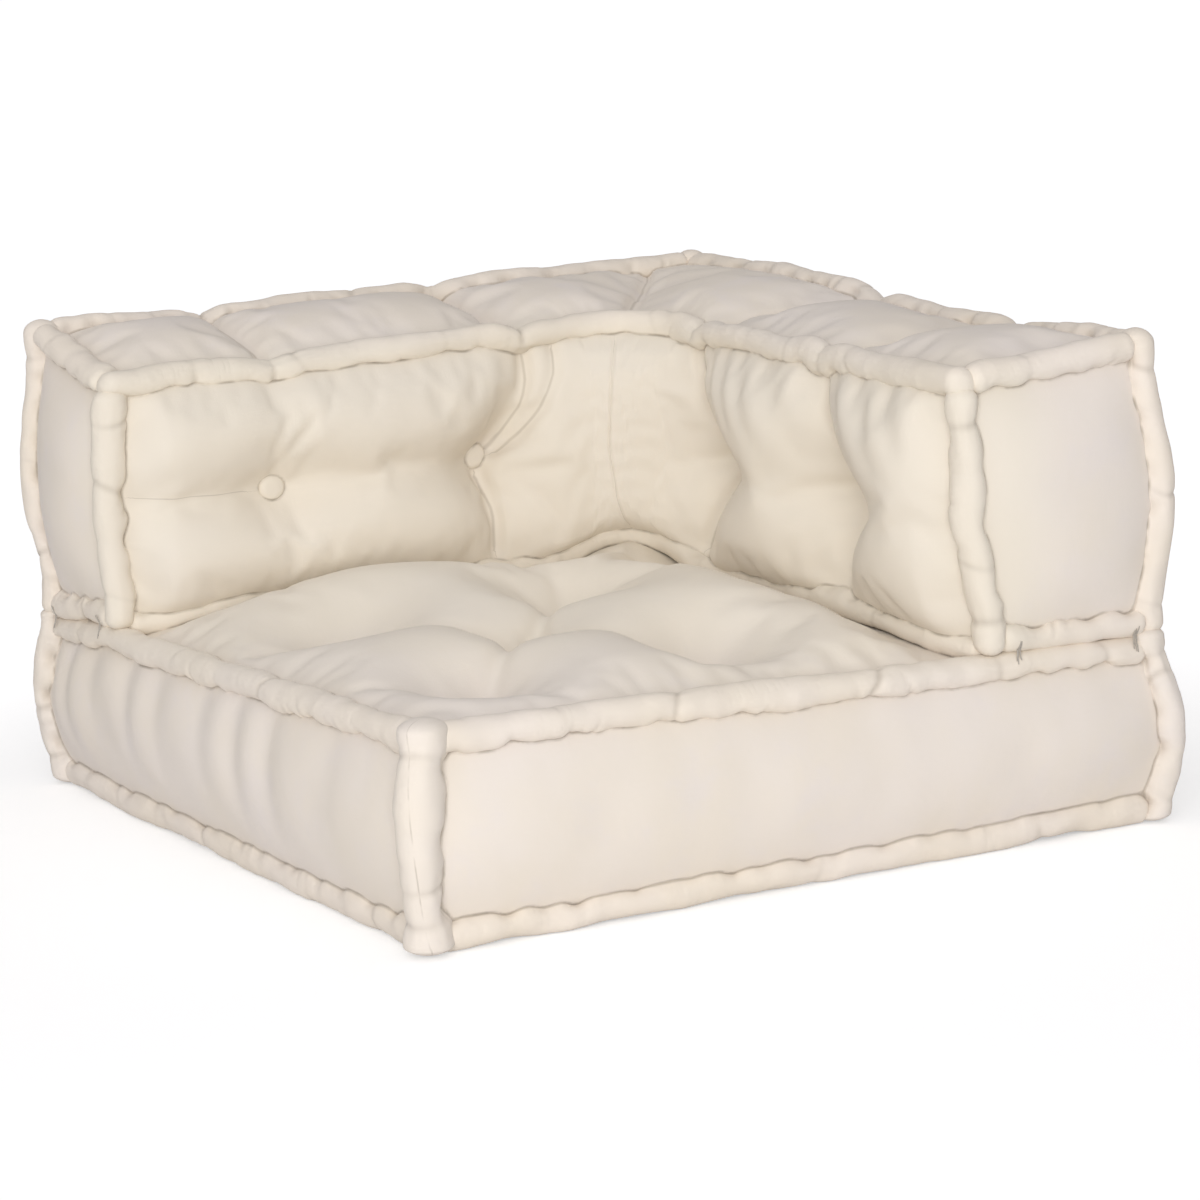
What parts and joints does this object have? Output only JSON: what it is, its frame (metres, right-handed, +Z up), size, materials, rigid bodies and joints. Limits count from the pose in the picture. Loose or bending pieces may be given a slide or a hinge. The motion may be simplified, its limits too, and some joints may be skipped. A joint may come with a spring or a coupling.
{
  "type": "corner sofa module",
  "caption": "Low corner sofa module: a square tufted mattress seat with an L-shaped buttoned mattress back on two sides, in cream cotton with stuffed rolled edges.",
  "frame": {"origin": "on the floor, under the middle of the module", "axes": "+Z up; the open front faces -Y and the open side faces -X, so the back runs along +Y and along +X"},
  "size_m": [0.7759, 0.7759, 0.447],
  "materials": {
    "canvas": "matt cream cotton canvas, unbleached, with soft creases",
    "roll_canvas": "the same canvas, stuffed and hand-stitched into a roll",
    "button_canvas": "buttons covered in the same canvas",
    "wadding": "loose cotton wadding, inside the cover",
    "twine": "plain cotton tufting twine",
    "tacking_thread": "dark hand-sewing thread"
  },
  "bodies": {
    "root": {"back_bottom_panel": "canvas", "back_bottom_roll_inner": "roll_canvas", "back_corner_roll": "roll_canvas", "back_filling": "wadding", "back_top_panel": "canvas", "back_top_roll_inner": "roll_canvas", "rear_bottom_roll_end": "roll_canvas", "rear_bottom_roll_outer": "roll_canvas", "rear_button_1": "button_canvas", "rear_button_2": "button_canvas", "rear_end_panel": "canvas", "rear_inner_panel": "canvas", "rear_outer_button_1": "button_canvas", "rear_outer_button_2": "button_canvas", "rear_outer_panel": "canvas", "rear_tack_inner": "tacking_thread", "rear_tack_outer": "tacking_thread", "rear_top_roll_end": "roll_canvas", "rear_top_roll_outer": "roll_canvas", "rear_upright_roll_inner": "roll_canvas", "rear_upright_roll_outer": "roll_canvas", "seat_bottom_panel": "canvas", "seat_bottom_roll_front": "roll_canvas", "seat_bottom_roll_left": "roll_canvas", "seat_bottom_roll_rear": "roll_canvas", "seat_bottom_roll_right": "roll_canvas", "seat_corner_roll_front_left": "roll_canvas", "seat_corner_roll_front_right": "roll_canvas", "seat_corner_roll_rear_left": "roll_canvas", "seat_corner_roll_rear_right": "roll_canvas", "seat_filling": "wadding", "seat_front_panel": "canvas", "seat_left_panel": "canvas", "seat_rear_panel": "canvas", "seat_right_panel": "canvas", "seat_top_panel": "canvas", "seat_top_roll_front": "roll_canvas", "seat_top_roll_left": "roll_canvas", "seat_top_roll_rear": "roll_canvas", "seat_top_roll_right": "roll_canvas", "seat_tuft_tie_1": "twine", "seat_tuft_tie_2": "twine", "seat_tuft_tie_3": "twine", "seat_tuft_tie_4": "twine", "seat_tuft_tie_5": "twine", "side_bottom_roll_end": "roll_canvas", "side_bottom_roll_outer": "roll_canvas", "side_button_1": "button_canvas", "side_button_2": "button_canvas", "side_end_panel": "canvas", "side_inner_panel": "canvas", "side_outer_button_1": "button_canvas", "side_outer_button_2": "button_canvas", "side_outer_panel": "canvas", "side_tack_inner": "tacking_thread", "side_tack_outer": "tacking_thread", "side_top_roll_end": "roll_canvas", "side_top_roll_outer": "roll_canvas", "side_upright_roll_inner": "roll_canvas", "side_upright_roll_outer": "roll_canvas"}
  },
  "joints": []
}
